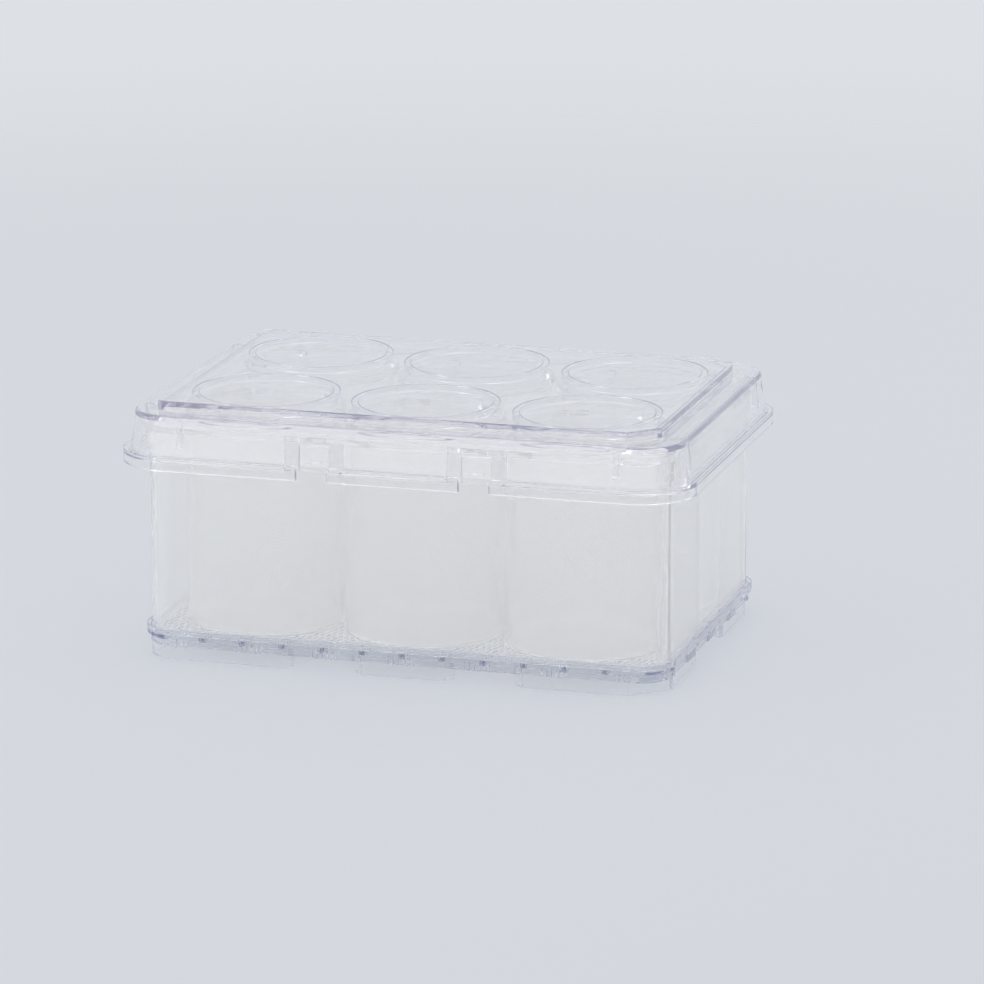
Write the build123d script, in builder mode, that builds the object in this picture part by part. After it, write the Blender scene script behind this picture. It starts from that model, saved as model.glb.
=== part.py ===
from build123d import *
import math
import os

# A deep six-well culture plate that breathes through its bottom: a clear box with six hanging wells,
# a loose lid, a silicone membrane under each well, a flat support net and a base tray on low feet.
# The outlines are offsets of one rectangle with rounded corners. The feet and the lid's plateau have two corners
# cut at 45 degrees instead, which lets plates stack one way round only.
# Millimetres, +Z up. The origin is the middle of the footprint, on the surface that the feet stand on.

# ---- wells and the room around them (with the walls below they give a 127.76 by 85.48 footprint) ----
columns = 3
rows = 2
well_bore = 35.2
well_wall = 1.1
column_gap = 1.5  # between neighbouring wells along X
row_gap = 3.4  # between the two rows along Y
end_room = 3.63  # from the end wells to the box wall
side_room = 0.99  # from each row to the box wall

# ---- box of the plate body ----
box_wall = 1.3
box_round = 7.1  # outside corner radius
box_height = 51.1
deck_sheet = 1.4
deck_drop = 1.4  # the deck lies this far below the well rims
collar_height = 7.1
collar_out = 0.65  # the collar stands this far out from the box wall
lug_width = 2.6
lug_height = 1.3
lug_out = 0.8

# ---- base tray ----
foot_height = 3.2
foot_wall = 1.3
foot_inset = 0.2  # from the band's face to the feet
foot_cut = 8.2  # the feet's corners on the +X end are cut at 45 degrees, and the others are rounded
side_foot_gap = 19.5  # on the long sides, between the wells
end_foot_gap = 25.0
foot_return_room = 0.2  # each foot ends in a short wall that turns in, and stays this clear of the plateau
foot_return_lean = 2.6  # the turned-in end leans this far into the gap
band_height = 2.6
band_wall = 2.0
rim_wall = 1.2
rim_height = 2.2
rim_root = 0.5  # the rim laps this far down onto the band
rim_overhang = 0.9
box_clearance = 0.15  # between the box and the tray's rim
tray_sheet = 1.4
grid_bar = 1.5
grid_cells_per_well = 4
grid_border = 0.6  # solid floor inside the box wall, all round the windows
grip_pitch = 18.4  # from one group of fine grip ribs to the next
grip_ribs = 6
grip_rib_pitch = 1.2
grip_rib_width = 0.5
grip_rib_out = 0.45

# ---- net and membranes ----
net_sheet = 0.6
net_clearance = 0.4
membrane_sheet = 0.5
membrane_lap = 0.4  # the membrane reaches this far past the well's outer face

# ---- lid ----
lid_sheet = 1.5
lid_pad = 0.6  # height of the pads that stand the lid off the collar
pad_length = 4.0
pad_width = 1.2
skirt_wall = 1.3
skirt_room = 1.2  # between the collar and the skirt, at the lid's shoulder
skirt_drop = 9.2
skirt_draft = 7.0
shoulder_round = 0.7
flange_out = 1.9
flange_drop = 3.2
flange_shelf = 1.2
flange_lip = 1.4
plateau_rise = 2.1
stack_clearance = 1.8  # the feet of a plate above stand loosely round the plateau
plateau_round = 0.35
key_clearance = 0.7  # the same, at the plateau's two fuller corners, which let a plate stack one way round only
ring_wall = 1.5
ring_drop = 1.5
ring_room = 0.4  # between a lid ring and the well's bore, seen from above
guide_inset = 10.4  # from the box corner to the nearest guide rib
guide_width = 1.2
guide_drop = 5.9
guide_clearance = 0.35
catch_slot = 7.3
catch_leg = 3.4
catch_leg_drop = 9.3
catch_bar_drop = 3.2
catch_bar_height = 1.8
catch_round = 1.2
catch_clearance = 1.0
catch_bead_height = 0.8
catch_bead_out = 0.5
gate_radius = 0.6
gate_drop = 0.4
gate_offset = 5.4

# ---- sizes that follow ----
well_outer = well_bore + 2 * well_wall
column_pitch = well_outer + column_gap
row_pitch = well_outer + row_gap
hollow_length = (columns - 1) * column_pitch + well_outer + 2 * end_room
hollow_width = (rows - 1) * row_pitch + well_outer + 2 * side_room
box_length = hollow_length + 2 * box_wall
box_width = hollow_width + 2 * box_wall
collar_length = box_length + 2 * collar_out
collar_width = box_width + 2 * collar_out
tray_length = box_length + 2 * (box_clearance + rim_wall)
tray_width = box_width + 2 * (box_clearance + rim_wall)
band_length = tray_length - 2 * rim_overhang
band_width = tray_width - 2 * rim_overhang
foot_length = band_length - 2 * foot_inset
foot_width = band_width - 2 * foot_inset
lid_length = collar_length + 2 * (skirt_room + skirt_wall)
lid_width = collar_width + 2 * (skirt_room + skirt_wall)
foot_return = foot_wall + stack_clearance - foot_return_room
plateau_length = foot_length - 2 * (foot_wall + stack_clearance)
plateau_width = foot_width - 2 * (foot_wall + stack_clearance)
foot_inner_round = box_round + (foot_length - 2 * foot_wall - box_length) / 2
plateau_corner = max(  # radius of the plateau's -X corners, which leaves the key clearance to the feet's inner corners
    plateau_round,
    (key_clearance - foot_inner_round + math.sqrt(2) * (foot_inner_round - stack_clearance)) / (math.sqrt(2) - 1),
)
cut_share = 2 - math.sqrt(2)  # a 45 degree corner cut grows by this share of each millimetre of offset

# ---- levels ----
seat_level = foot_height + band_height  # the box and the net stand here
net_top = seat_level + net_sheet
well_bottom = net_top + membrane_sheet
box_top = seat_level + box_height
deck_top = box_top - deck_drop
deck_bottom = deck_top - deck_sheet
collar_bottom = box_top - collar_height
lid_underside = box_top + lid_pad
shoulder = lid_underside + lid_sheet
plateau_top = shoulder + plateau_rise
plateau_underside = plateau_top - lid_sheet
flange_top = shoulder - skirt_drop
flange_bottom = flange_top - flange_drop
shelf_underside = flange_top - flange_shelf

# ---- places shared by pieces ----
catch_places = [(column - (columns - 2) / 2) * column_pitch for column in range(columns - 1)]
guide_x = box_length / 2 - guide_inset
guide_y = box_width / 2 - guide_inset


def corner_radius(length):
    """Corner radius of an outline, by its length, so that nested outlines stay evenly apart."""
    return box_round + (length - box_length) / 2


def rounded(level, length, width):
    """A rectangle with rounded corners, flat at a level."""
    with BuildSketch(Plane.XY.offset(level)) as outline:
        RectangleRounded(length, width, corner_radius(length))
    return outline.sketch


def keyed(level, length, width, minus_x_radius):
    """A rectangle with its -X corners rounded and its +X corners cut at 45 degrees, evenly inside the feet."""
    with BuildSketch(Plane.XY.offset(level)) as outline:
        Rectangle(length, width)
        fillet(outline.vertices().group_by(Axis.X)[0], minus_x_radius)
        chamfer(outline.vertices().group_by(Axis.X)[-1], foot_cut + cut_share * (length - foot_length) / 2)
    return outline.sketch


def skirt_size(level, inset=0.0):
    """Length and width of the lid's drafted skirt at a level, less an inset on every side."""
    spread = math.tan(math.radians(skirt_draft)) * (shoulder - level) - inset
    return lid_length + 2 * spread, lid_width + 2 * spread


def grip_places(straight):
    """Where the grip ribs stand along a straight stretch: in groups, none past the stretch's ends."""
    groups = int(straight / 2 // grip_pitch) + 1
    places = [
        group * grip_pitch + (rib - (grip_ribs - 1) / 2) * grip_rib_pitch
        for group in range(-groups, groups + 1)
        for rib in range(grip_ribs)
    ]
    return [place for place in places if abs(place) + grip_rib_width / 2 <= straight / 2]


def block(x_low, x_high, y_low, y_high, z_low, z_high):
    """An upright block between the given limits, drawn apart from any builder."""
    with BuildPart() as made:
        with BuildSketch(Plane.XY.offset(z_low)):
            with Locations(((x_low + x_high) / 2, (y_low + y_high) / 2)):
                Rectangle(x_high - x_low, y_high - y_low)
        extrude(amount=z_high - z_low)
    return made.part


# ==== plate body: box, deck and six wells in one moulding ====
with BuildPart() as plate_body:
    extrude(rounded(seat_level, box_length, box_width), amount=box_height)
    extrude(rounded(collar_bottom, collar_length, collar_width), amount=collar_height)
    # the open room under the deck, and the shallow tray above it
    extrude(
        rounded(seat_level, hollow_length, hollow_width),
        amount=deck_bottom - seat_level,
        mode=Mode.SUBTRACT,
    )
    extrude(rounded(deck_top, hollow_length, hollow_width), amount=deck_drop, mode=Mode.SUBTRACT)
    # wells
    with BuildSketch(Plane.XY.offset(well_bottom)):
        with GridLocations(column_pitch, row_pitch, columns, rows):
            Circle(well_outer / 2)
    extrude(amount=box_top - well_bottom)
    with BuildSketch(Plane.XY.offset(well_bottom)):
        with GridLocations(column_pitch, row_pitch, columns, rows):
            Circle(well_bore / 2)
    extrude(amount=box_top - well_bottom, mode=Mode.SUBTRACT)
    # wedge lugs under the lid's catches, on both long sides
    for side in (-1, 1):
        face = side * collar_width / 2
        for x in catch_places:
            with BuildSketch(Plane.YZ.offset(x - lug_width / 2)):
                with BuildLine():
                    Polyline(
                        (face - side * collar_out / 2, collar_bottom),
                        (face + side * lug_out, collar_bottom),
                        (face, collar_bottom + lug_height),
                        (face - side * collar_out / 2, collar_bottom + lug_height),
                        close=True,
                    )
                make_face()
            extrude(amount=lug_width)
plate_body.part.label = "plate_body"

# ==== lid: a shallow drafted cap with a stacking plateau ====
with BuildPart() as lid:
    extrude(
        rounded(shoulder, lid_length, lid_width),
        amount=-skirt_drop,
        taper=-skirt_draft,
    )
    fillet(lid.faces().sort_by(Axis.Z)[-1].edges(), shoulder_round)
    skirt_foot = skirt_size(flange_top)
    extrude(
        rounded(flange_top, skirt_foot[0] + 2 * flange_out, skirt_foot[1] + 2 * flange_out),
        amount=-flange_drop,
    )
    extrude(
        keyed(lid_underside, plateau_length, plateau_width, plateau_corner),
        amount=plateau_top - lid_underside,
    )
    fillet(lid.faces().sort_by(Axis.Z)[-1].edges(), plateau_round)
    # hollow of the skirt, of the flange and of the plateau
    extrude(
        rounded(lid_underside, *skirt_size(lid_underside, skirt_wall)),
        amount=shelf_underside - lid_underside,
        taper=-skirt_draft,
        mode=Mode.SUBTRACT,
    )
    lip_inside = flange_out - flange_lip
    extrude(
        rounded(shelf_underside, skirt_foot[0] + 2 * lip_inside, skirt_foot[1] + 2 * lip_inside),
        amount=flange_bottom - shelf_underside,
        mode=Mode.SUBTRACT,
    )
    extrude(
        keyed(
            lid_underside,
            plateau_length - 2 * lid_sheet,
            plateau_width - 2 * lid_sheet,
            max(plateau_corner - lid_sheet, plateau_round),
        ),
        amount=plateau_underside - lid_underside,
        mode=Mode.SUBTRACT,
    )
    # a low ring over each well, and a gate mark inside it
    ring_outer = well_bore / 2 - ring_room
    with BuildSketch(Plane.XY.offset(plateau_underside)):
        with GridLocations(column_pitch, row_pitch, columns, rows):
            Circle(ring_outer)
            Circle(ring_outer - ring_wall, mode=Mode.SUBTRACT)
    extrude(amount=-ring_drop)
    with BuildSketch(Plane.XY.offset(plateau_underside)):
        with Locations((-gate_offset, 0)):
            with GridLocations(column_pitch, row_pitch, columns, rows):
                Circle(gate_radius)
    extrude(amount=-gate_drop)
    # pads that stand on the collar, and guide ribs that centre the skirt on it
    pad_y = (collar_width / 2 + hollow_width / 2) / 2
    pad_x = (collar_length / 2 + hollow_length / 2) / 2
    with BuildSketch(Plane.XY.offset(lid_underside)):
        with GridLocations(2 * guide_x, 2 * pad_y, 2, 2):
            Rectangle(pad_length, pad_width)
        with GridLocations(2 * pad_x, 2 * guide_y, 2, 2):
            Rectangle(pad_width, pad_length)
    extrude(amount=-lid_pad)
    guide_level = lid_underside - guide_drop
    rib_face_y = collar_width / 2 + guide_clearance
    rib_root_x, rib_root_y = [size / 2 for size in skirt_size(lid_underside - guide_drop / 2, skirt_wall / 2)]
    rib_face_x = collar_length / 2 + guide_clearance
    for side in (-1, 1):
        for x in (-guide_x, guide_x):
            y_limits = sorted((side * rib_face_y, side * rib_root_y))
            add(block(x - guide_width / 2, x + guide_width / 2, *y_limits, guide_level, lid_underside))
        for y in (-guide_y, guide_y):
            x_limits = sorted((side * rib_face_x, side * rib_root_x))
            add(block(*x_limits, y - guide_width / 2, y + guide_width / 2, guide_level, lid_underside))
    # catches: two legs under a bar, a bead between them, and a gap in the flange below
    leg_bottom = lid_underside - catch_leg_drop
    bar_bottom = lid_underside - catch_bar_drop
    bar_top = bar_bottom + catch_bar_height
    leg_face = collar_width / 2 + catch_clearance
    leg_root = skirt_size((leg_bottom + bar_top) / 2, skirt_wall / 2)[1] / 2
    gap_root = skirt_size(flange_top)[1] / 2
    bead_root = skirt_size(shelf_underside, skirt_wall)[1] / 2
    for side in (-1, 1):
        leg_y = sorted((side * leg_face, side * leg_root))
        gap_y = sorted((side * gap_root, side * (gap_root + 2 * flange_out)))
        bead_y = sorted((side * (bead_root - catch_bead_out), side * (bead_root + skirt_wall / 2)))
        for x in catch_places:
            slot_x = (x - catch_slot / 2, x + catch_slot / 2)
            with BuildSketch(Plane.XZ.offset(-leg_y[1])) as arch:
                with Locations((x, (leg_bottom + bar_top) / 2)):
                    Rectangle(catch_slot + 2 * catch_leg, bar_top - leg_bottom)
                fillet(arch.vertices().group_by(Axis.Y)[0], catch_round)
                with Locations((x, (leg_bottom + bar_bottom) / 2)):
                    Rectangle(catch_slot, bar_bottom - leg_bottom, mode=Mode.SUBTRACT)
            extrude(amount=leg_y[1] - leg_y[0])
            add(block(*slot_x, *gap_y, flange_bottom, flange_top), mode=Mode.SUBTRACT)
            add(block(*slot_x, *bead_y, shelf_underside, shelf_underside + catch_bead_height))
lid.part.label = "lid"

# ==== base tray: band, rim, open grid floor and low feet ====
with BuildPart() as base_tray:
    extrude(rounded(foot_height, band_length, band_width), amount=band_height)
    extrude(rounded(seat_level - rim_root, tray_length, tray_width), amount=rim_height)
    extrude(
        rounded(seat_level, box_length + 2 * box_clearance, box_width + 2 * box_clearance),
        amount=rim_height,
        mode=Mode.SUBTRACT,
    )
    grid_level = seat_level - tray_sheet
    extrude(
        rounded(foot_height, band_length - 2 * band_wall, band_width - 2 * band_wall),
        amount=grid_level - foot_height,
        mode=Mode.SUBTRACT,
    )
    # square windows that let air reach the net, a few to each well
    cell_x = column_pitch / grid_cells_per_well
    cell_y = row_pitch / grid_cells_per_well
    with BuildSketch(Plane.XY.offset(grid_level)):
        with GridLocations(cell_x, cell_y, columns * grid_cells_per_well, rows * grid_cells_per_well):
            Rectangle(cell_x - grid_bar, cell_y - grid_bar)
        windows_length = hollow_length - 2 * grid_border
        windows_width = hollow_width - 2 * grid_border
        add(rounded(0, windows_length, windows_width), mode=Mode.INTERSECT)
    extrude(amount=tray_sheet, mode=Mode.SUBTRACT)
    # feet: a thin wall round the edge, opened between the wells on the long sides and midway on the ends
    with BuildSketch():
        foot_room = (foot_length - 2 * foot_wall, foot_width - 2 * foot_wall)
        add(keyed(0, foot_length, foot_width, corner_radius(foot_length)))
        add(keyed(0, *foot_room, corner_radius(foot_room[0])), mode=Mode.SUBTRACT)
        gaps = [(x, -foot_width / 2, 0, side_foot_gap / 2) for x in catch_places]
        gaps += [(x, foot_width / 2, 180, side_foot_gap / 2) for x in catch_places]
        gaps += [(side * foot_length / 2, 0, side * 90, end_foot_gap / 2) for side in (-1, 1)]
        for x, y, turn, half_gap in gaps:
            with Locations(Location((x, y), turn)):
                Rectangle(2 * half_gap, foot_wall, align=(Align.CENTER, Align.MIN), mode=Mode.SUBTRACT)
                for end in (-1, 1):
                    Polygon(
                        (end * half_gap, 0),
                        (end * (half_gap + foot_wall), 0),
                        (end * (half_gap + foot_wall - foot_return_lean), foot_return),
                        (end * (half_gap - foot_return_lean), foot_return),
                        align=None,
                    )
    extrude(amount=grid_level)
    # fine upright grip ribs on the band, under the rim
    straight_length = band_length - 2 * corner_radius(band_length)
    straight_width = band_width - 2 * corner_radius(band_length)
    with BuildSketch(Plane.XY.offset(foot_height)):
        for side in (-1, 1):
            with Locations(*[(x, side * band_width / 2) for x in grip_places(straight_length)]):
                Rectangle(grip_rib_width, 2 * grip_rib_out)
            with Locations(*[(side * band_length / 2, y) for y in grip_places(straight_width)]):
                Rectangle(2 * grip_rib_out, grip_rib_width)
    extrude(amount=band_height - rim_root)
base_tray.part.label = "base_tray"

# ==== support net: a flat sheet inside the box, on the tray's grid ====
with BuildPart() as support_net:
    extrude(
        rounded(seat_level, hollow_length - 2 * net_clearance, hollow_width - 2 * net_clearance),
        amount=net_sheet,
    )
support_net.part.label = "support_net"

os.makedirs("parts", exist_ok=True)
for piece in (plate_body, lid, base_tray, support_net):
    export_step(piece.part, f"parts/{piece.part.label}.step")

# ==== membranes: one silicone disc under each well, numbered along the front row first ====
well_places = [
    ((column - (columns - 1) / 2) * column_pitch, (row - (rows - 1) / 2) * row_pitch)
    for row in range(rows)
    for column in range(columns)
]
for number, place in enumerate(well_places, start=1):
    with BuildPart() as membrane:
        with BuildSketch(Plane.XY.offset(net_top)):
            with Locations(place):
                Circle(well_outer / 2 + membrane_lap)
        extrude(amount=membrane_sheet)
    membrane.part.label = f"membrane_{number}"
    export_step(membrane.part, f"parts/membrane_{number}.step")
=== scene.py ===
# %% [markdown]
# # A deep six-well culture plate
#
# The object is a clear moulded box with six hanging wells, a loose lid, a silicone membrane under
# each well, a sheet of plastic netting that carries the membranes, and a base tray on low feet.
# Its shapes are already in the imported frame, so most of the work here is optics: clear polystyrene
# only shows by its edges, its rounded corners and what it bends. Every cell below makes one thing
# and prints what it made.

# %% Load the frame
import math

import bmesh
import bpy
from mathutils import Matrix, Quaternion, Vector


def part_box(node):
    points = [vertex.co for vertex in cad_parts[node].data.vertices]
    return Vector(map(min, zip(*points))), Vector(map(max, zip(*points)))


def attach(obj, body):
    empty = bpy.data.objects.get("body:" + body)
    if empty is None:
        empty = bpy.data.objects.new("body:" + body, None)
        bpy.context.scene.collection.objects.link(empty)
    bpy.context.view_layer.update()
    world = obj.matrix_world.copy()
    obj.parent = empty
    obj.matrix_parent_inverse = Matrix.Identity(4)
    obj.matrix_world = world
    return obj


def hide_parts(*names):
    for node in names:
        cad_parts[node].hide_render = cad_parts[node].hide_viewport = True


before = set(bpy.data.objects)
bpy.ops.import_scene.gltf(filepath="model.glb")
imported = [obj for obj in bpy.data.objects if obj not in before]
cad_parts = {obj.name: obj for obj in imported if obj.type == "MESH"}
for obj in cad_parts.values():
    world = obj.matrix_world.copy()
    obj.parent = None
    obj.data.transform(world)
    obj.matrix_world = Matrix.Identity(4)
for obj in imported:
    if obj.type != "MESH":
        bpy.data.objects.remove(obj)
scene = bpy.context.scene
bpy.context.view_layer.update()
MM = 0.001
print("nodes", sorted(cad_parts))


# %% [markdown]
# ## Camera
#
# A long lens from well back keeps the box's edges nearly parallel. The camera is placed by an aim
# point, a compass angle, a height angle and a distance, because those are the four things that a
# person at a tripod would change. Typing a place and three rotations would give the same view, but
# none of those six numbers could be changed alone without losing the object.

# %% Camera
AIM = Vector((6.59, 10.55, 31.77)) * MM
AZIMUTH = math.radians(16.715)
ELEVATION = math.radians(14.487)
ROLL = math.radians(-0.211)
DISTANCE = 1462.3 * MM
SENSOR_WIDTH = 36.0
FOCAL_LENGTH = 225.9
NEAREST_SEEN, FURTHEST_SEEN = 0.05, 20.0


def place_camera():
    """Stands the camera off the aim point and turns it to look there."""
    back = Vector((
        math.sin(AZIMUTH) * math.cos(ELEVATION),
        -math.cos(AZIMUTH) * math.cos(ELEVATION),
        math.sin(ELEVATION),
    ))
    lens = bpy.data.cameras.new("camera")
    lens.sensor_width = SENSOR_WIDTH
    lens.lens = FOCAL_LENGTH
    lens.clip_start = NEAREST_SEEN
    lens.clip_end = FURTHEST_SEEN
    camera = bpy.data.objects.new("camera", lens)
    scene.collection.objects.link(camera)
    camera.location = AIM + back * DISTANCE
    camera.rotation_mode = "QUATERNION"
    camera.rotation_quaternion = (-back).to_track_quat("-Z", "Y") @ Quaternion((0, 0, 1), ROLL)
    scene.camera = camera
    return camera


camera = place_camera()
print("camera at", [round(x, 3) for x in camera.location])


# %% [markdown]
# ## Small helpers for node trees
#
# Shader and geometry trees are both built by adding nodes, setting some sockets and joining the
# rest. One helper adds a node and fills in its sockets, so that each tree below reads as a list of
# what it does. A socket's value may be a number or colour, or another node's output to link. The
# other helpers are for the few nodes that nearly every tree needs.

# %% Add a node
def fill_socket(tree, socket, value):
    """Links an output into the socket, or sets the socket's own value."""
    if isinstance(value, bpy.types.NodeSocket):
        tree.links.new(value, socket)
    else:
        socket.default_value = value


def add_node(tree, kind, sockets=(), **settings):
    """Adds a node and sets its properties. Its sockets are pairs of name or number and value."""
    node = tree.nodes.new(kind)
    for name, value in settings.items():
        setattr(node, name, value)
    for key, value in sockets:
        fill_socket(tree, node.inputs[key], value)
    return node


def add_math(tree, operation, first, second=0.0):
    """A Math node's output."""
    node = add_node(tree, "ShaderNodeMath", [(0, first), (1, second)], operation=operation)
    return node.outputs[0]


print("node helpers", [helper.__name__ for helper in (fill_socket, add_node, add_math)])


# %% Patterns, ranges and mixes
# The Mix node has sockets of one name for numbers, vectors and colours. These are the colours'.
MIX_SHARE, MIX_FIRST, MIX_SECOND, MIX_RESULT = 0, 6, 7, 2


def object_place(tree):
    """The point being shaded, in the piece's own coordinates."""
    return add_node(tree, "ShaderNodeTexCoord").outputs["Object"]


def add_noise(tree, place, **values):
    """A noise pattern's height. The values are the node's own, such as scale and detail."""
    sockets = [("Vector", place), *((name.title(), value) for name, value in values.items())]
    return add_node(tree, "ShaderNodeTexNoise", sockets).outputs[0]


def add_bump(tree, height, distance, strength):
    """A normal that follows a height pattern."""
    return add_node(tree, "ShaderNodeBump", [
        ("Height", height), ("Distance", distance), ("Strength", strength),
    ]).outputs[0]


def map_range(tree, value, ends, results=(0.0, 1.0), smooth=False):
    """The value carried from the range between two ends to the range between two results."""
    return add_node(tree, "ShaderNodeMapRange", [
        ("Value", value),
        ("From Min", ends[0]), ("From Max", ends[1]),
        ("To Min", results[0]), ("To Max", results[1]),
    ], interpolation_type="SMOOTHSTEP" if smooth else "LINEAR").outputs[0]


def mix_colours(tree, share, first, second):
    """The first colour where the share is 0, and the second where it is 1."""
    return add_node(tree, "ShaderNodeMix", [
        (MIX_SHARE, share), (MIX_FIRST, first), (MIX_SECOND, second),
    ], data_type="RGBA").outputs[MIX_RESULT]


def mix_shaders(tree, share, first, second):
    """The first shader where the share is 0, and the second where it is 1."""
    return add_node(tree, "ShaderNodeMixShader", [(0, share), (1, first), (2, second)]).outputs[0]


print("tree helpers", [helper.__name__ for helper in (
    object_place, add_noise, add_bump, map_range, mix_colours, mix_shaders,
)])


# %% Backdrop colours
def linear(red, green, blue, alpha=1.0):
    """Display values from 0 to 255, by the standard curve, as the numbers that shaders take."""
    parts = []
    for value in (red, green, blue):
        share = value / 255
        parts.append(share / 12.92 if share <= 0.04045 else ((share + 0.055) / 1.055) ** 2.4)
    return (*parts, alpha)


BACKDROP = linear(217, 221, 227)
BACKDROP_HIGH = linear(222, 225, 230)
print("backdrop", [round(x, 3) for x in BACKDROP], "band_shade_mask", [round(x, 3) for x in BACKDROP_HIGH])


# %% [markdown]
# ## The skin of a moulded clear part
#
# A moulded polystyrene wall is never a perfect optical flat. It keeps a very shallow ripple from
# the flow of the melt, and a faint haze where it was handled. Both are patterns over the surface,
# and all three clear mouldings need them, so they live in one shader node group that puts out a
# normal, a roughness and a tone. A painted image could do it too, but a procedural group works at
# any scale.

# %% Moulded skin group
SKIN_INPUTS = {
    "Ripple Size": 14 * MM,
    "Ripple Depth": 0.02 * MM,
    "Least Roughness": 0.01,
    "Most Roughness": 0.05,
    "Smudge Size": 20 * MM,
}
SKIN_OUTPUTS = {"Normal": "Vector", "Roughness": "Float", "Tone": "Float"}
RIPPLE_DETAIL, RIPPLE_DISTORTION = 1.5, 0.4
SMUDGE_DETAIL, SMUDGE_ROUGHNESS = 5.0, 0.62
SMUDGE_RANGE = (0.45, 0.72)  # the haze begins at the first height and is full at the second


def make_moulded_skin():
    """A shader group: a shallow flow ripple, handling haze as a roughness, and a faint tone."""
    group = bpy.data.node_groups.new("moulded_skin", "ShaderNodeTree")
    for name, start in SKIN_INPUTS.items():
        socket = group.interface.new_socket(name, in_out="INPUT", socket_type="NodeSocketFloat")
        socket.default_value = start
    for name, kind in SKIN_OUTPUTS.items():
        group.interface.new_socket(name, in_out="OUTPUT", socket_type="NodeSocket" + kind)
    given = add_node(group, "NodeGroupInput").outputs
    place = object_place(group)
    ripple = add_noise(
        group, place,
        scale=add_math(group, "DIVIDE", 1.0, given["Ripple Size"]),
        detail=RIPPLE_DETAIL, distortion=RIPPLE_DISTORTION,
    )
    smudge = add_noise(
        group, place,
        scale=add_math(group, "DIVIDE", 1.0, given["Smudge Size"]),
        detail=SMUDGE_DETAIL, roughness=SMUDGE_ROUGHNESS,
    )
    height = add_math(group, "MULTIPLY", ripple, given["Ripple Depth"])
    add_node(group, "NodeGroupOutput", [
        ("Normal", add_bump(group, height, distance=1.0, strength=1.0)),
        ("Roughness", map_range(
            group, smudge, SMUDGE_RANGE, (given["Least Roughness"], given["Most Roughness"]),
        )),
        ("Tone", smudge),
    ])
    return group


moulded_skin = make_moulded_skin()
print("group", moulded_skin.name, "with", len(moulded_skin.nodes), "nodes")


# %% [markdown]
# ## How light goes through the plate
#
# A lamp's light would need many bounces to find its way through so many walls, so rays from lamps
# and from matt surfaces pass straight through a slightly grey Transparent shader. That keeps the
# shadow pale and the picture free of noise. A ray that is caught inside a wall runs along it as in
# a light guide, and would come back black when its bounces run out. On the real part that light
# leaves at some far edge, so after a set number of bounces the ray ends in a lilac-grey glow
# instead. This glow is what draws the edges of the part.

# %% Light paths
CAUGHT_AFTER = 14.5  # a ray that has met more surfaces than this is caught


def new_tree(name):
    """A new material with an empty node tree and its output node."""
    material = bpy.data.materials.new(name)
    material.use_nodes = True
    material.node_tree.nodes.clear()
    return material, material.node_tree, add_node(material.node_tree, "ShaderNodeOutputMaterial")


def let_lamps_through(tree, surface, shade):
    """Mixes in a Transparent shader for rays from lamps and from matt surfaces."""
    path = add_node(tree, "ShaderNodeLightPath")
    through = add_node(tree, "ShaderNodeBsdfTransparent", [("Color", shade)])
    for ray in ("Is Shadow Ray", "Is Diffuse Ray"):
        surface = mix_shaders(tree, path.outputs[ray], surface, through.outputs[0])
    return surface


def end_caught_rays(tree, surface, glow):
    """Ends a ray that has met many surfaces in a pale glow. No light is sent out from it."""
    path = add_node(tree, "ShaderNodeLightPath")
    caught = add_math(tree, "GREATER_THAN", path.outputs["Ray Depth"], CAUGHT_AFTER)
    end = add_node(tree, "ShaderNodeEmission", [("Color", glow)])
    return mix_shaders(tree, caught, surface, end.outputs[0])


print("a ray is caught after", math.ceil(CAUGHT_AFTER), "surfaces")


# %% [markdown]
# ## Telling the wells from the box
#
# The wells and the box are one moulding, but the wells' skin is a little frosted by the core pins
# that form them, so they get a haze of their own. Caught rays in them also end in a paler glow, a
# painted light that lightens the wells. Two materials on one mesh would need the faces sorted. A
# mask worked out from the place on the piece needs nothing from the mesh: folding the coordinates
# at the well pitch brings all six wells onto one circle.

# %% Wells mask
MASK_INSET = 0.1 * MM  # from a disc's edge to the mask's, which lies just outside the well's wall
MASK_DROP = 4 * MM  # from the body's top to the mask's, which lies just under the deck
first_disc, second_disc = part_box("membrane_1"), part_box("membrane_2")
WELL_PITCH = (second_disc[0].x - first_disc[0].x, abs(first_disc[0].y + first_disc[1].y))
WELL_REACH = (first_disc[1].x - first_disc[0].x) / 2 - MASK_INSET
WELL_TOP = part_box("plate_body")[1].z - MASK_DROP


def on_wells(tree):
    """A mask that is 1 on the six hanging wells and 0 on the box round them."""
    x, y, z = add_node(tree, "ShaderNodeSeparateXYZ", [(0, object_place(tree))]).outputs
    across = add_math(tree, "PINGPONG", x, WELL_PITCH[0] / 2)
    along = add_math(tree, "SUBTRACT", add_math(tree, "ABSOLUTE", y), WELL_PITCH[1] / 2)
    flat = add_node(tree, "ShaderNodeCombineXYZ", [("X", across), ("Y", along)]).outputs[0]
    reach = add_node(tree, "ShaderNodeVectorMath", [(0, flat)], operation="LENGTH")
    near = add_math(tree, "LESS_THAN", reach.outputs["Value"], WELL_REACH)
    return add_math(tree, "MULTIPLY", near, add_math(tree, "LESS_THAN", z, WELL_TOP))


print("well pitches in mm", [round(size / MM, 2) for size in WELL_PITCH])
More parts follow.
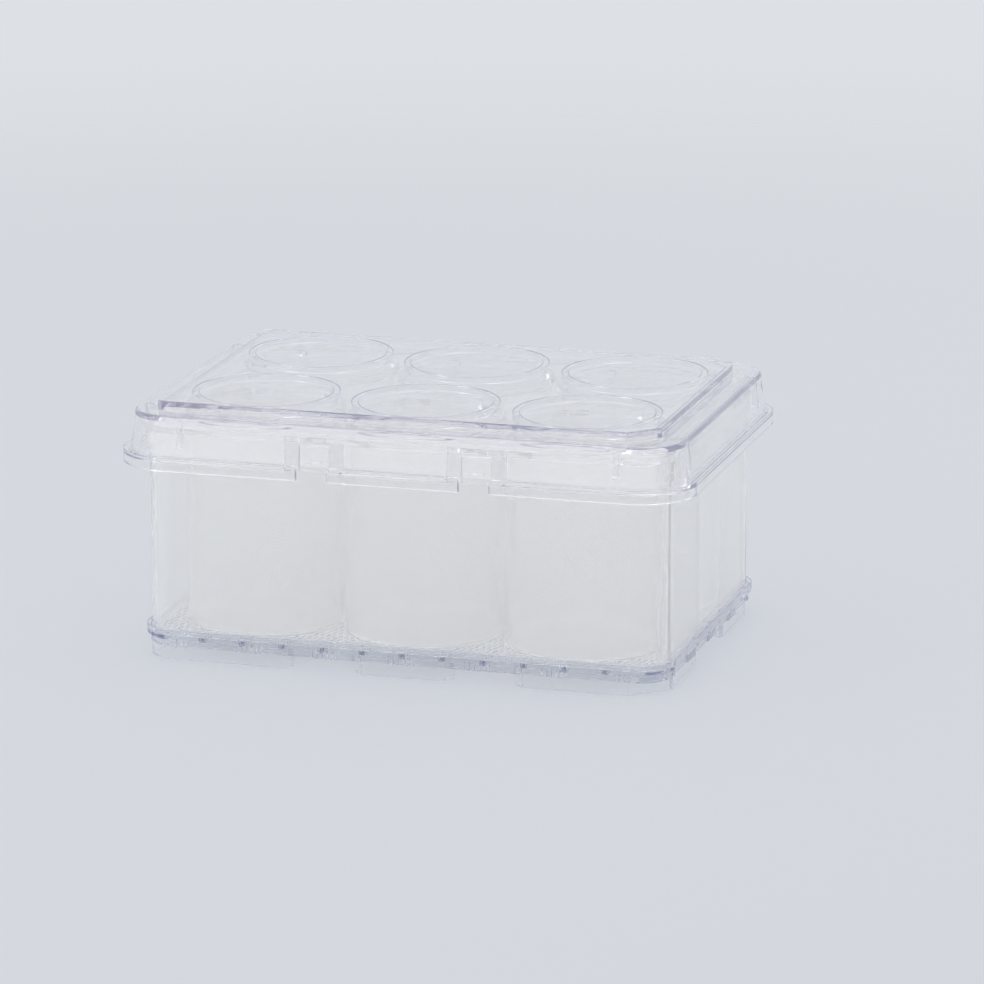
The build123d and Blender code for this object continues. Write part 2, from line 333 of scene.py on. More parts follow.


# %% [markdown]
# ## Clear polystyrene
#
# Polystyrene bends light more than glass does (its index is 1.59), so its edges flash and go dark
# by turns. Light that travels a long way inside a wall comes out faintly lilac, which an absorbing
# volume gives and a surface colour can't. The box lets a little less than all the light in, which
# stands for the faint milk of thick walls. The tray's plastic absorbs more, towards blue-grey. Its
# band is painted a deep blue-grey, painted shade where many ribs and bars stand behind each other,
# and its feet, which have only one wall, stay pale.

# %% See-through shader and skin
def see_through(tree, colour, rough, normal, clearness, index):
    """A Principled shader that bends light and lets it in."""
    return add_node(tree, "ShaderNodeBsdfPrincipled", [
        ("Base Color", colour),
        ("Roughness", rough),
        ("Normal", normal),
        ("Transmission Weight", clearness),
        ("IOR", index),
    ]).outputs[0]


def add_skin(tree, values):
    """Places the moulded skin group in a material, with that material's own values."""
    skin = tree.nodes.new("ShaderNodeGroup")
    skin.node_tree = moulded_skin
    for name, value in values.items():
        skin.inputs[name.replace("_", " ").title()].default_value = value
    return skin.outputs


print("material helpers", [helper.__name__ for helper in (see_through, add_skin)])


# %% Clear polystyrene
POLYSTYRENE_INDEX = 1.59
EDGE_GLOW = (0.3, 0.31, 0.4, 1.0)
BASE_GLOW = (0.25, 0.26, 0.32, 1.0)
# painted light: caught rays in the wells end in this paler glow, which lightens them
WELL_GLOW = (0.76, 0.78, 0.83, 1.0)
WELL_HAZE = 0.24


def clear_polystyrene(
    name, pale, deep, depth_colour, depth, shade,
    clearness=1.0, wells=False, edge=EDGE_GLOW, band_shade_above=None, **skin_values
):
    """A clear moulded plastic.

    pale and deep are the two ends of its tone, which varies at random. Below the height
    band_shade_above it is all pale; a dark deep above that height is painted shade.
    depth_colour and depth are what a long way through it takes out, shade is what its shadow
    keeps, and edge is the glow of a caught ray.
    """
    material, tree, output = new_tree(name)
    skin = add_skin(tree, skin_values)
    rough, glow, share = skin["Roughness"], edge, skin["Tone"]
    if wells:
        mask = on_wells(tree)
        rough = add_math(tree, "MAXIMUM", rough, add_math(tree, "MULTIPLY", mask, WELL_HAZE))
        glow = mix_colours(tree, mask, edge, WELL_GLOW)
    # painted shade: above the given height the tone can reach a dark deep colour, below it stays pale
    if band_shade_above is not None:
        level = add_node(tree, "ShaderNodeSeparateXYZ", [(0, object_place(tree))]).outputs[2]
        band_shade_mask = add_math(tree, "GREATER_THAN", level, band_shade_above)
        share = add_math(tree, "MULTIPLY", share, band_shade_mask)
    tone = mix_colours(tree, share, pale, deep)
    plastic = see_through(tree, tone, rough, skin["Normal"], clearness, POLYSTYRENE_INDEX)
    surface = let_lamps_through(tree, end_caught_rays(tree, plastic, glow), shade)
    inside = add_node(tree, "ShaderNodeVolumeAbsorption", [
        ("Color", depth_colour), ("Density", depth),
    ])
    tree.links.new(surface, output.inputs["Surface"])
    tree.links.new(inside.outputs[0], output.inputs["Volume"])
    material.cycles.emission_sampling = "NONE"
    return material


print("polystyrene index", POLYSTYRENE_INDEX)


# %% The three clear plastics
LILAC = (0.78, 0.7, 0.92, 1.0)
BLUE_GREY = (0.78, 0.79, 0.9, 1.0)
# painted shade: the tray's band is darkened above this height, and the feet below it stay pale
FEET_TOP = 3.1 * MM  # just under the band, which keeps its deep tone down to its lower edge

clear_lid = clear_polystyrene(
    "clear_lid",
    pale=(1.0, 1.0, 1.0, 1), deep=(0.98, 0.98, 0.985, 1),
    depth_colour=LILAC, depth=3.0, shade=(0.985, 0.985, 0.988, 1),
    ripple_size=30 * MM, ripple_depth=0.01 * MM, smudge_size=22 * MM,
    least_roughness=0.008, most_roughness=0.045,
)
clear_body = clear_polystyrene(
    "clear_body",
    pale=(1.0, 1.0, 1.0, 1), deep=(0.98, 0.985, 0.985, 1),
    depth_colour=LILAC, depth=2.0, shade=(0.99, 0.99, 0.992, 1),
    clearness=0.84, wells=True,
    ripple_size=34 * MM, ripple_depth=0.02 * MM, smudge_size=30 * MM,
    least_roughness=0.05, most_roughness=0.1,
)
clear_base = clear_polystyrene(
    "clear_base",
    # the dark deep colour is painted shade on the band, where many ribs and bars stand behind each
    # other
    pale=(0.99, 1.0, 1.0, 1), deep=(0.7, 0.73, 0.8, 1),
    depth_colour=BLUE_GREY, depth=34.0, shade=(0.98, 0.978, 0.985, 1),
    edge=BASE_GLOW, band_shade_above=FEET_TOP,
    ripple_size=9 * MM, ripple_depth=0.03 * MM, smudge_size=8 * MM,
    least_roughness=0.012, most_roughness=0.07,
)
print("clear plastics", [plastic.name for plastic in (clear_lid, clear_body, clear_base)])


# %% [markdown]
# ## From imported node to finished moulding
#
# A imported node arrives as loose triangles, and its corners are knife-sharp but for the large rounds
# of its outline. A real moulding has small radii everywhere, and on a clear part those radii are
# most of what can be seen, because they gather the light into thin bright lines. Each node is
# copied, its doubles are merged, and a small bevel rounds every corner. Normals weighted by face
# area then keep the large faces flat and the curved walls smooth. The flat triangles stay as they
# are: dissolved into whole faces, they would close the windows of the grid. Cutting the radii in
# the solid would give the same look, but it would make every other tool slower.

# %% Mesh helpers
DOUBLES_WITHIN = 0.001 * MM


def link_mesh(name, mesh):
    """A new object at the origin with this mesh."""
    piece = bpy.data.objects.new(name, mesh)
    scene.collection.objects.link(piece)
    return piece


def plain_mesh(piece):
    """Turns a piece with modifiers into a plain mesh."""
    graph = bpy.context.evaluated_depsgraph_get()
    graph.update()
    finished = bpy.data.meshes.new_from_object(piece.evaluated_get(graph))
    piece.modifiers.clear()
    old = piece.data
    piece.data = finished
    if old.users == 0:
        bpy.data.meshes.remove(old)


def merged_copy(node):
    """The node's mesh with doubles merged, as a bmesh."""
    shape = bmesh.new()
    shape.from_mesh(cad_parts[node].data)
    bmesh.ops.remove_doubles(shape, verts=shape.verts, dist=DOUBLES_WITHIN)
    return shape


print("doubles are merged within", DOUBLES_WITHIN / MM, "mm")


# %% Finishing helper
CORNER_ANGLE = math.radians(28)  # an edge that turns less than this stays as it is
CORNER_SEGMENTS = 2
SMOOTH_WEIGHT = 50


def finish_moulding(name, node, material, corner, nudge=None):
    """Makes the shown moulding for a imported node, with corners rounded to this radius."""
    shape = merged_copy(node)
    if nudge:
        nudge(shape)
    mesh = bpy.data.meshes.new(name)
    shape.to_mesh(mesh)
    shape.free()
    mesh.shade_smooth()
    mesh.materials.append(material)
    piece = link_mesh(name, mesh)
    bevel = piece.modifiers.new("corners", "BEVEL")
    bevel.width = corner
    bevel.segments = CORNER_SEGMENTS
    bevel.limit_method = "ANGLE"
    bevel.angle_limit = CORNER_ANGLE
    bevel.use_clamp_overlap = False
    smooth = piece.modifiers.new("smooth", "WEIGHTED_NORMAL")
    smooth.mode = "FACE_AREA"
    smooth.weight = SMOOTH_WEIGHT
    smooth.keep_sharp = False
    plain_mesh(piece)
    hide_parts(node)
    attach(piece, "root")
    print(name, "has", len(piece.data.polygons), "faces")


print("edges that turn more than", round(math.degrees(CORNER_ANGLE)), "degrees are rounded")


# %% [markdown]
# ## Lid
#
# The lid is one thin moulding: a raised plateau over the wells with a ring round each well mouth, a
# sloping shoulder, a drafted skirt and a rolled flange, with two catches on each long side. It
# stands on small pads. The pads are trimmed by a few hundredths of a millimetre here, because two
# clear surfaces in exactly the same place confuse a ray about which of them it has left. Moving the
# whole lid up would do as well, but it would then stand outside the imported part's box.

# %% Lid
HAIR = 0.03 * MM  # the gap left between two clear surfaces that touch
AT_LEVEL = HAIR / 3  # a vertex this near to a level lies on it
box_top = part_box("plate_body")[1].z


def trim_pads(shape):
    """Lifts the pads' feet a hair off the collar."""
    for vertex in shape.verts:
        if abs(vertex.co.z - box_top) < AT_LEVEL:
            vertex.co.z += HAIR


finish_moulding(
    "lid_clear", "lid", clear_lid, corner=0.14 * MM, nudge=trim_pads,
)


# %% [markdown]
# ## Plate body
#
# The body is a deep box with six tubes that hang from a deck just below its top. It is the largest
# clear piece, and the tubes behind the front wall show only as soft upright bands. It could be
# built again here from a few extruded outlines, but then two descriptions of one shape would have
# to be kept alike. Its foot is lifted a hair off the tray for the same reason as the pads.

# %% Plate body
body_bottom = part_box("plate_body")[0].z


def lift_foot(shape):
    """Lifts the box's bottom edge a hair off the tray."""
    for vertex in shape.verts:
        if vertex.co.z < body_bottom + AT_LEVEL:
            vertex.co.z += HAIR


finish_moulding(
    "body_clear", "plate_body", clear_body, corner=0.16 * MM, nudge=lift_foot,
)


# %% [markdown]
# ## Base tray
#
# The tray is a grid floor with a rim that the box drops into, a band with groups of fine grip
# ribs, and low feet that turn in at their ends. A wide radius would melt the ribs together, so its
# corners get the smallest one. Nothing has to be trimmed, because what stands on it is lifted.

# %% Base tray
finish_moulding("tray_clear", "base_tray", clear_base, corner=0.11 * MM)


# %% [markdown]
# ## Silicone membranes
#
# Each well is closed by a half-millimetre silicone disc that lets oxygen through. Silicone is clear
# but cloudy: it scatters a little, bends light less than polystyrene, and has no hard gloss. A
# rough transmission with a fine grain in its bump gives that. Real scattering inside the sheet
# would look the same at this thickness and take far longer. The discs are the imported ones, with
# soft edges, and a hair thinner on each side.

# %% Silicone
SILICONE_INDEX = 1.41
SILICONE_CLEARNESS = 0.94
SILICONE_SHADE = (0.96, 0.96, 0.96, 1)
SILICONE_PALE = (0.98, 0.985, 0.985, 1)
SILICONE_GREY = (0.95, 0.955, 0.955, 1)
SILICONE_ROUGHNESS = (0.22, 0.42)
GRAIN_SCALE, CLOUD_SCALE = 2600.0, 90.0
GRAIN_DEPTH, GRAIN_STRENGTH = 0.02 * MM, 0.5
WHOLE_RANGE = (0.0, 1.0)  # a pattern's least and greatest height


def make_silicone():
    """Cloudy, faintly grained silicone sheet."""
    material, tree, output = new_tree("silicone_sheet")
    place = object_place(tree)
    grain = add_noise(tree, place, scale=GRAIN_SCALE, detail=2.0)
    cloud = add_noise(tree, place, scale=CLOUD_SCALE, detail=4.0)
    sheet = see_through(
        tree,
        mix_colours(tree, cloud, SILICONE_PALE, SILICONE_GREY),
        map_range(tree, cloud, WHOLE_RANGE, SILICONE_ROUGHNESS),
        add_bump(tree, grain, GRAIN_DEPTH, GRAIN_STRENGTH),
        SILICONE_CLEARNESS,
        SILICONE_INDEX,
    )
    surface = let_lamps_through(tree, sheet, SILICONE_SHADE)
    tree.links.new(surface, output.inputs["Surface"])
    return material


silicone = make_silicone()
print("material", silicone.name, "with index", SILICONE_INDEX)


# %% Membranes
WELLS = 6


def thin_disc(shape):
    """Lowers a disc's top a hair from the well, and lifts its foot a hair off the net."""
    top = max(vertex.co.z for vertex in shape.verts)
    for vertex in shape.verts:
        vertex.co.z += -HAIR if vertex.co.z > top - HAIR else HAIR


for number in range(1, WELLS + 1):
    disc, node = f"membrane_disc_{number}", f"membrane_{number}"
    finish_moulding(disc, node, silicone, corner=0.12 * MM, nudge=thin_disc)


# %% [markdown]
# ## Support net
#
# The net is extruded plastic netting: two layers of thin strands, each layer leaning the other way,
# melted together in small knots where they cross. The openings are long diamonds. Its outline has
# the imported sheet's sides, and cuts its corners straight across, just inside the sheet's rounded
# ones. The pattern follows a rule, so Geometry Nodes make it: a row of points becomes a family of
# straight strands, each cut to the outline by arithmetic, and two grids of points carry the knots.
# A texture with holes would be lighter, but it would have no thickness.

# %% Support net sizes
DIAMOND_WIDTH = 1.5 * MM
STRAND_LEAN = math.tan(math.radians(15.5))
STRAND_RADIUS = 0.15 * MM
STRAND_SIDES = 7
SHORTEST_STRAND = 0.4 * MM
LAYER_GAP = 0.2 * MM
KNOT_RADIUS = 0.23 * MM
KNOT_STRETCH = (0.9, 1.7, 0.95)
KNOT_INSET = 0.5 * MM  # how far inside the cut corners the knots stop
CORNER_INSET = 1.1 * MM  # how far inside the sheet's rounded corners the strands are cut
net_low, net_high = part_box("support_net")
net_middle = (net_low.z + net_high.z) / 2
half_length = net_high.x - STRAND_RADIUS
half_width = net_high.y - STRAND_RADIUS
# The corners are measured as the sum of the two distances from the middle.
sheet_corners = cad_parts["support_net"].data.vertices
corner_reach = max(abs(v.co.x) + abs(v.co.y) for v in sheet_corners) - CORNER_INSET
strands = 2 * math.ceil((half_length + half_width * STRAND_LEAN) / DIAMOND_WIDTH) + 1
knot_columns = 2 * math.ceil(half_length / DIAMOND_WIDTH) + 1
knot_rows = 2 * math.ceil(half_width * STRAND_LEAN / DIAMOND_WIDTH) + 1
print("strands in each layer", strands, "knots", knot_columns, "by", knot_rows)
print("diamond in mm", round(DIAMOND_WIDTH / MM, 2), round(DIAMOND_WIDTH / STRAND_LEAN / MM, 2))


# %% Cutting a strand to the outline
def least_of(tree, values, operation="MINIMUM"):
    """The least, or the greatest, of several outputs."""
    result = values[0]
    for value in values[1:]:
        result = add_math(tree, operation, result, value)
    return result


def run_to_outline(tree, given, place):
    """How far a strand that crosses the middle line at this place runs up before the outline."""
    more = add_math(tree, "ADD", given["Lean"], 1.0)
    less = add_math(tree, "SUBTRACT", 1.0, given["Lean"])
    to_side = add_math(tree, "SUBTRACT", given["Half Length"], place)
    to_near_corner = add_math(tree, "SUBTRACT", given["Corner Reach"], place)
    to_far_corner = add_math(tree, "ADD", given["Corner Reach"], place)
    return least_of(tree, [
        given["Half Width"],
        add_math(tree, "DIVIDE", to_side, given["Lean"]),
        add_math(tree, "DIVIDE", to_near_corner, more),
        add_math(tree, "DIVIDE", to_far_corner, less),
    ])


print("a strand is cut at the sides and", round(corner_reach / MM, 2), "mm out at the corners")


# %% A family of strands
def strand_starts(tree, given):
    """Every strand's lower end, as points that carry how far it runs up as "run"."""
    index = add_node(tree, "GeometryNodeInputIndex").outputs[0]
    middle = add_math(tree, "DIVIDE", add_math(tree, "SUBTRACT", given["Strands"], 1.0), 2.0)
    steps = add_math(tree, "SUBTRACT", index, middle)
    place = add_math(tree, "MULTIPLY", steps, given["Diamond Width"])
    rise = run_to_outline(tree, given, place)
    fall = run_to_outline(tree, given, add_math(tree, "MULTIPLY", place, -1.0))
    start_y = add_math(tree, "MULTIPLY", fall, -1.0)
    start_x = add_math(tree, "ADD", place, add_math(tree, "MULTIPLY", start_y, given["Lean"]))
    start = add_node(tree, "ShaderNodeCombineXYZ", [("X", start_x), ("Y", start_y)])
    row = add_node(tree, "GeometryNodePoints", [
        ("Count", given["Strands"]), ("Position", start.outputs[0]),
    ])
    run = add_math(tree, "ADD", rise, fall)
    return add_node(tree, "GeometryNodeStoreNamedAttribute", [
        ("Geometry", row.outputs[0]), ("Name", "run"), ("Value", run),
    ], data_type="FLOAT", domain="POINT").outputs[0]


def strand_family(tree, given):
    """Straight strands that all lean one way, cut to the outline. Puts out curves."""
    points = strand_starts(tree, given)
    verts = add_node(tree, "GeometryNodePointsToVertices", [("Points", points)])
    run = add_node(
        tree, "GeometryNodeInputNamedAttribute", [("Name", "run")], data_type="FLOAT",
    ).outputs[0]
    short = add_node(
        tree, "FunctionNodeCompare", [(0, run), (1, SHORTEST_STRAND)], operation="LESS_THAN",
    )
    kept = add_node(tree, "GeometryNodeDeleteGeometry", [
        ("Geometry", verts.outputs[0]), ("Selection", short.outputs[0]),
    ])
    along = add_node(tree, "ShaderNodeCombineXYZ", [
        ("X", add_math(tree, "MULTIPLY", run, given["Lean"])), ("Y", run),
    ])
    drawn = add_node(tree, "GeometryNodeExtrudeMesh", [
        ("Mesh", kept.outputs[0]), ("Offset", along.outputs[0]), ("Offset Scale", 1.0),
    ], mode="VERTICES")
    return add_node(tree, "GeometryNodeMeshToCurve", [("Mesh", drawn.outputs[0])]).outputs[0]


print("a strand under", round(SHORTEST_STRAND / MM, 2), "mm is left out")


# %% Knots where the strands cross
def knot_grid(tree, given, shift):
    """Points at every other crossing of the two layers, moved by this share of a step."""
    step_x = given["Diamond Width"]
    step_y = add_math(tree, "DIVIDE", step_x, given["Lean"])
    gaps_x = add_math(tree, "SUBTRACT", given["Knot Columns"], 1.0)
    gaps_y = add_math(tree, "SUBTRACT", given["Knot Rows"], 1.0)
    grid = add_node(tree, "GeometryNodeMeshGrid", [
        ("Size X", add_math(tree, "MULTIPLY", step_x, gaps_x)),
        ("Size Y", add_math(tree, "MULTIPLY", step_y, gaps_y)),
        ("Vertices X", given["Knot Columns"]),
        ("Vertices Y", given["Knot Rows"]),
    ])
    offset = add_node(tree, "ShaderNodeCombineXYZ", [
        ("X", add_math(tree, "MULTIPLY", step_x, shift)),
        ("Y", add_math(tree, "MULTIPLY", step_y, shift)),
    ])
    return add_node(tree, "GeometryNodeSetPosition", [
        ("Geometry", grid.outputs[0]), ("Offset", offset.outputs[0]),
    ]).outputs[0]


def outside_outline(tree, given):
    """True for points past the sheet's sides or its cut corners."""
    position = add_node(tree, "GeometryNodeInputPosition").outputs[0]
    place = add_node(tree, "ShaderNodeSeparateXYZ", [(0, position)]).outputs
    x, y = (add_math(tree, "ABSOLUTE", place[number]) for number in (0, 1))
    limit_x = add_math(tree, "SUBTRACT", given["Half Length"], given["Knot Radius"])
    limit_y = add_math(tree, "SUBTRACT", given["Half Width"], given["Knot Radius"])
    limit_corner = add_math(tree, "SUBTRACT", given["Corner Reach"], KNOT_INSET)
    return least_of(tree, [
        add_math(tree, "GREATER_THAN", x, limit_x),
        add_math(tree, "GREATER_THAN", y, limit_y),
        add_math(tree, "GREATER_THAN", add_math(tree, "ADD", x, y), limit_corner),
    ], "MAXIMUM")


def knots_on_crossings(tree, given):
    """A small stretched ball on every crossing inside the outline."""
    crossings = add_node(tree, "GeometryNodeJoinGeometry")
    for shift in (0.0, 0.5):
        tree.links.new(knot_grid(tree, given, shift), crossings.inputs[0])
    inside = add_node(tree, "GeometryNodeDeleteGeometry", [
        ("Geometry", crossings.outputs[0]), ("Selection", outside_outline(tree, given)),
    ])
    raised = add_node(tree, "ShaderNodeCombineXYZ", [("Z", given["Height"])])
    lifted = add_node(tree, "GeometryNodeTransform", [
        ("Geometry", inside.outputs[0]), ("Translation", raised.outputs[0]),
    ])
    ball = add_node(tree, "GeometryNodeMeshIcoSphere", [
        ("Radius", given["Knot Radius"]), ("Subdivisions", 1),
    ])
    return add_node(tree, "GeometryNodeInstanceOnPoints", [
        ("Points", lifted.outputs[0]), ("Instance", ball.outputs[0]), ("Scale", KNOT_STRETCH),
    ]).outputs[0]


print("knots are stretched by", KNOT_STRETCH)


# %% The whole net as a tree
NET_INPUTS = {
    "Half Length": "Float", "Half Width": "Float", "Corner Reach": "Float",
    "Diamond Width": "Float", "Lean": "Float", "Strand Radius": "Float",
    "Layer Gap": "Float", "Knot Radius": "Float", "Height": "Float",
    "Strands": "Int", "Knot Columns": "Int", "Knot Rows": "Int",
}


def swept_layers(tree, given):
    """The family of strands and its mirror image, one over the other, with round strands."""
    family = strand_family(tree, given)
    half_gap = add_math(tree, "DIVIDE", given["Layer Gap"], 2.0)
    layers = add_node(tree, "GeometryNodeJoinGeometry")
    for side in (1.0, -1.0):
        level = add_math(tree, "ADD", given["Height"], add_math(tree, "MULTIPLY", half_gap, side))
        shift = add_node(tree, "ShaderNodeCombineXYZ", [("Z", level)])
        turned = add_node(tree, "GeometryNodeTransform", [
            ("Geometry", family), ("Translation", shift.outputs[0]), ("Scale", (side, 1.0, 1.0)),
        ])
        tree.links.new(turned.outputs[0], layers.inputs[0])
    profile = add_node(tree, "GeometryNodeCurvePrimitiveCircle", [
        ("Resolution", STRAND_SIDES), ("Radius", given["Strand Radius"]),
    ])
    return add_node(tree, "GeometryNodeCurveToMesh", [
        ("Curve", layers.outputs[0]), ("Profile Curve", profile.outputs[0]), ("Fill Caps", True),
    ]).outputs[0]


def make_netting_tree(material):
    """The net as one Geometry Nodes tree, and the identifier of each of its inputs by name."""
    tree = bpy.data.node_groups.new("diamond_netting", "GeometryNodeTree")
    names = {}
    for name, kind in NET_INPUTS.items():
        socket = tree.interface.new_socket(
            name, in_out="INPUT", socket_type="NodeSocket" + kind,
        )
        names[name] = socket.identifier
    tree.interface.new_socket("Geometry", in_out="OUTPUT", socket_type="NodeSocketGeometry")
    given = add_node(tree, "NodeGroupInput").outputs
    whole = add_node(tree, "GeometryNodeJoinGeometry")
    tree.links.new(swept_layers(tree, given), whole.inputs[0])
    tree.links.new(knots_on_crossings(tree, given), whole.inputs[0])
    real = add_node(tree, "GeometryNodeRealizeInstances", [("Geometry", whole.outputs[0])])
    smooth = add_node(tree, "GeometryNodeSetShadeSmooth", [("Geometry", real.outputs[0])])
    coloured = add_node(tree, "GeometryNodeSetMaterial", [
        ("Geometry", smooth.outputs[0]), ("Material", material),
    ])
    add_node(tree, "NodeGroupOutput", [("Geometry", coloured.outputs[0])])
    return tree, names


print("netting tree takes", len(NET_INPUTS), "sizes")


# %% [markdown]
# ## Netting plastic
#
# The netting is extruded plastic without pigment: milky, waxy, and faintly uneven from the die that
# drew it. About half of the light goes through and the rest is scattered, which makes it look white
# against the clear parts. One fine noise drives colour, roughness and bump together, because on
# such plastic a dull patch is all three at once.

# %% Netting plastic
NET_INDEX = 1.5
NET_CLEARNESS = 0.55
NET_SHADE = (0.93, 0.93, 0.93, 1)
NET_PALE = (0.95, 0.95, 0.945, 1)
NET_GREY = (0.86, 0.87, 0.87, 1)
NET_ROUGHNESS = (0.3, 0.55)
NET_GRAIN_DEPTH, NET_GRAIN_STRENGTH = 0.02 * MM, 0.6
PATCH_SCALE = 700.0


def make_net_plastic():
    """Natural, milky extruded plastic."""
    material, tree, output = new_tree("net_plastic")
    patches = add_noise(tree, object_place(tree), scale=PATCH_SCALE, detail=3.0)
    strand = see_through(
        tree,
        mix_colours(tree, patches, NET_PALE, NET_GREY),
        map_range(tree, patches, WHOLE_RANGE, NET_ROUGHNESS),
        add_bump(tree, patches, NET_GRAIN_DEPTH, NET_GRAIN_STRENGTH),
        NET_CLEARNESS,
        NET_INDEX,
    )
    surface = let_lamps_through(tree, strand, NET_SHADE)
    tree.links.new(surface, output.inputs["Surface"])
    return material


net_plastic = make_net_plastic()
print("material", net_plastic.name, "with index", NET_INDEX)


# %% [markdown]
# ## Running the netting tree
#
# The tree starts from nothing, so it runs on an empty mesh. Its inputs are set by the identifiers
# of their sockets, before the object is first worked out. The result is then kept as a plain mesh
# and the modifier is removed: live, it would let the sizes be changed later, but every tool that
# reads the model afterwards would have to run it again.

# %% Support net
def make_net():
    """Runs the netting tree on an empty mesh and keeps its result as a plain mesh."""
    tree, names = make_netting_tree(net_plastic)
    net = link_mesh("support_netting", bpy.data.meshes.new("support_netting"))
    modifier = net.modifiers.new("netting", "NODES")
    modifier.node_group = tree
    for name, value in (
        ("Half Length", half_length), ("Half Width", half_width), ("Corner Reach", corner_reach),
        ("Diamond Width", DIAMOND_WIDTH), ("Lean", STRAND_LEAN), ("Strand Radius", STRAND_RADIUS),
        ("Layer Gap", LAYER_GAP), ("Knot Radius", KNOT_RADIUS), ("Height", net_middle),
        ("Strands", strands), ("Knot Columns", knot_columns), ("Knot Rows", knot_rows),
    ):
        modifier[names[name]] = value
    plain_mesh(net)
    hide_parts("support_net")
    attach(net, "root")
    return net


net = make_net()
net_levels = [round(vertex.co.z / MM, 2) for vertex in net.data.vertices]
print("net has", len(net.data.polygons), "faces")
print("net lies from", min(net_levels), "to", max(net_levels), "mm")


# %% [markdown]
# ## Floor
#
# The plate stands on a pale matt table that runs into an equally pale backdrop with no horizon. A
# round floor that fades out at its rim does this: near the plate it catches the shadow, and further
# out the world's own colour takes over. A curved sheet behind the plate is what a studio would use,
# but it would show its end in views from the side.

# %% Floor
FLOOR_RADIUS = 1.6
FLOOR_CORNERS = 96
FADE = (0.35, 0.8)  # the floor is whole up to the first distance and gone at the second


def make_floor():
    """A flat matt disc that fades to nothing at its rim."""
    shape = bmesh.new()
    bmesh.ops.create_circle(shape, cap_ends=True, segments=FLOOR_CORNERS, radius=FLOOR_RADIUS)
    mesh = bpy.data.meshes.new("floor")
    shape.to_mesh(mesh)
    shape.free()
    material, tree, output = new_tree("matt_table")
    distance = add_node(
        tree, "ShaderNodeVectorMath", [(0, object_place(tree))], operation="LENGTH",
    ).outputs["Value"]
    matt = add_node(tree, "ShaderNodeBsdfDiffuse", [("Color", BACKDROP)])
    nothing = add_node(tree, "ShaderNodeBsdfTransparent")
    faded = map_range(tree, distance, FADE, smooth=True)
    mixed = mix_shaders(tree, faded, matt.outputs[0], nothing.outputs[0])
    tree.links.new(mixed, output.inputs["Surface"])
    mesh.materials.append(material)
    floor = link_mesh("floor", mesh)


make_floor()
print("floor radius", FLOOR_RADIUS, "m, fading from", FADE[0], "to", FADE[1], "m")


# %% [markdown]
# ## Surroundings
#
# The world shows the backdrop to the camera, gives plain white light to matt surfaces, and shows a
# simple studio to reflections and to light bent by the plastic: pale all round, brighter overhead,
# and brightest low on the side where the camera stands. The upright skirt and walls mirror that
# side, which keeps them lighter than the floor behind them. One plain colour for all of them would
# be simpler, but a clear part in an even room hardly shows its edges.

# %% World
LIGHT_LEVEL = 0.8
OVERHEAD_COLOUR = (1.02, 1.02, 1.04, 1)
FRONT_COLOUR = (1.38, 1.4, 1.46, 1)
# Each pair is where a change begins and ends, as the upward or backward part of a direction.
BACKDROP_RISE = (-0.34, -0.15)
OVERHEAD_RISE = (0.3, 0.85)
FRONT_TURN = (-0.15, -0.75)
FRONT_SINK = (0.55, 0.1)


def studio_room(tree, backward, upward):
    """The colours that reflections and bent light find round the plate."""
    overhead = map_range(tree, upward, OVERHEAD_RISE, smooth=True)
    facing = map_range(tree, backward, FRONT_TURN, smooth=True)
    low = map_range(tree, upward, FRONT_SINK, smooth=True)
    room = mix_colours(tree, overhead, BACKDROP, OVERHEAD_COLOUR)
    return mix_colours(tree, add_math(tree, "MULTIPLY", facing, low), room, FRONT_COLOUR)


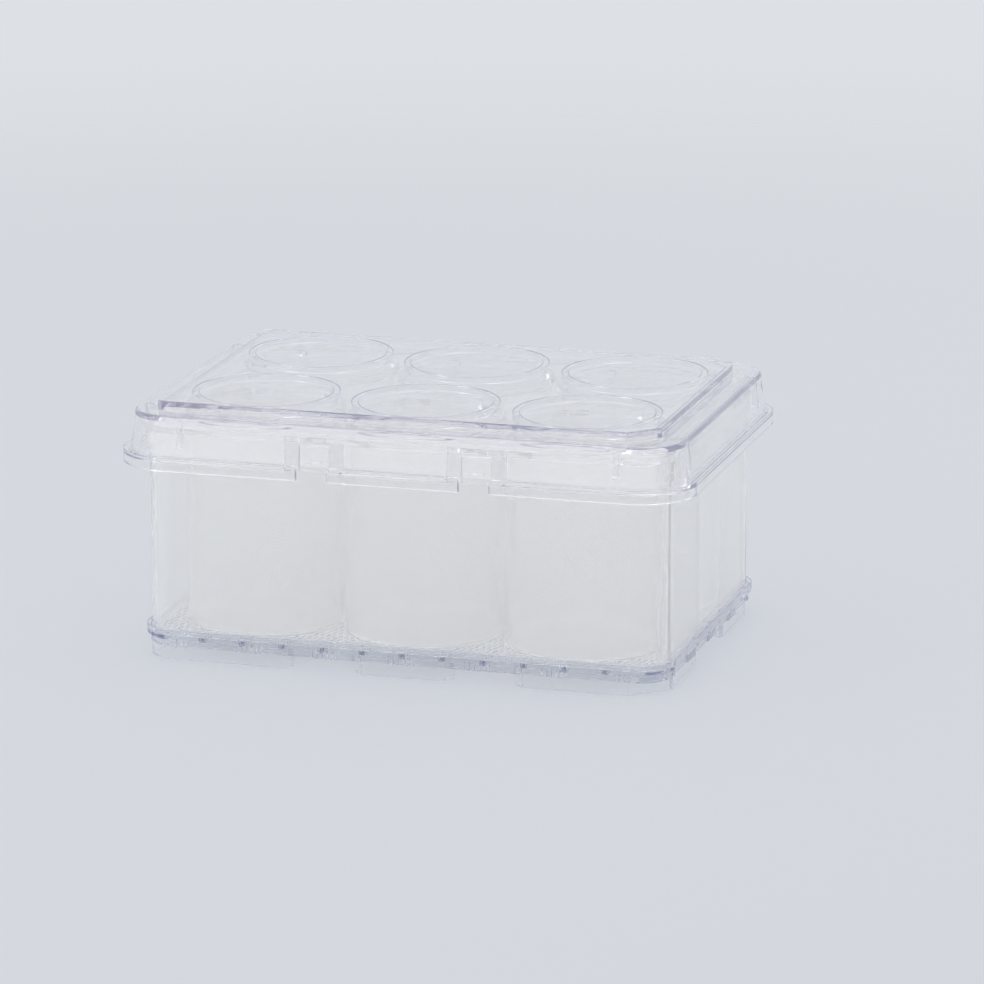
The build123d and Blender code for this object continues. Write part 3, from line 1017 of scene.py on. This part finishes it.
def make_world():
    """The surroundings, told apart by what kind of ray asks."""
    world = bpy.data.worlds.new("studio")
    scene.world = world
    world.use_nodes = True
    tree = world.node_tree
    tree.nodes.clear()
    direction = add_node(tree, "ShaderNodeTexCoord").outputs["Generated"]
    _, backward, upward = add_node(tree, "ShaderNodeSeparateXYZ", [(0, direction)]).outputs
    ray = add_node(tree, "ShaderNodeLightPath").outputs
    bent = add_math(tree, "MAXIMUM", ray["Is Glossy Ray"], ray["Is Transmission Ray"])
    white = (LIGHT_LEVEL, LIGHT_LEVEL, LIGHT_LEVEL, 1)
    light = mix_colours(tree, bent, white, studio_room(tree, backward, upward))
    rise = map_range(tree, upward, BACKDROP_RISE)
    seen = mix_colours(tree, rise, BACKDROP, BACKDROP_HIGH)
    final = mix_colours(tree, ray["Is Camera Ray"], light, seen)
    glow = add_node(tree, "ShaderNodeBackground", [("Color", final), ("Strength", 1.0)])
    add_node(tree, "ShaderNodeOutputWorld", [("Surface", glow.outputs[0])])


make_world()
print("world made, light level", LIGHT_LEVEL)


# %% [markdown]
# ## Lamps
#
# Three soft boxes add direction to the even light. The key stands high at the front left, so the
# faint shadow falls to the right and back. One hangs overhead, and one stands low behind the plate,
# where its only job is to put glints on rounded edges. Point lamps would be simpler, but their
# glints on clear edges are hard dots.

# %% Lamps
SOFT_BOXES = {  # place and size in metres, power in watts
    "key": ((-0.95, -0.75, 1.15), (0.5, 0.5), 2.6),
    "overhead": ((0.1, 0.25, 1.35), (0.9, 0.35), 1.6),
    "rim": ((0.75, 1.05, 0.5), (0.25, 0.7), 1.2),
}


def add_soft_box(name, place, size, power):
    """A rectangular lamp that faces the plate."""
    light = bpy.data.lights.new(name, "AREA")
    light.shape = "RECTANGLE"
    light.size, light.size_y = size
    light.energy = power
    lamp = bpy.data.objects.new(name, light)
    scene.collection.objects.link(lamp)
    lamp.location = place
    lamp.rotation_mode = "QUATERNION"
    lamp.rotation_quaternion = (AIM - Vector(place)).to_track_quat("-Z", "Y")


for name, (place, size, power) in SOFT_BOXES.items():
    add_soft_box(name, place, size, power)
print("lamps", list(SOFT_BOXES))


# %% [markdown]
# ## Render settings that belong to the material
#
# A ray that crosses the lid, the box and two wells meets more than twenty surfaces. With the usual
# limit of twelve bounces such a ray would stop inside and come out black, so the limits are raised.
# Fewer walls in the model would need fewer bounces, but it would no longer be this plate.

# %% Bounces and colour
BOUNCES = {
    "max_bounces": 28,
    "transmission_bounces": 28,
    "glossy_bounces": 16,
    "diffuse_bounces": 2,
    "transparent_max_bounces": 96,
}
for name, limit in BOUNCES.items():
    setattr(scene.cycles, name, limit)
scene.view_settings.view_transform = "Standard"
print("bounces", BOUNCES)
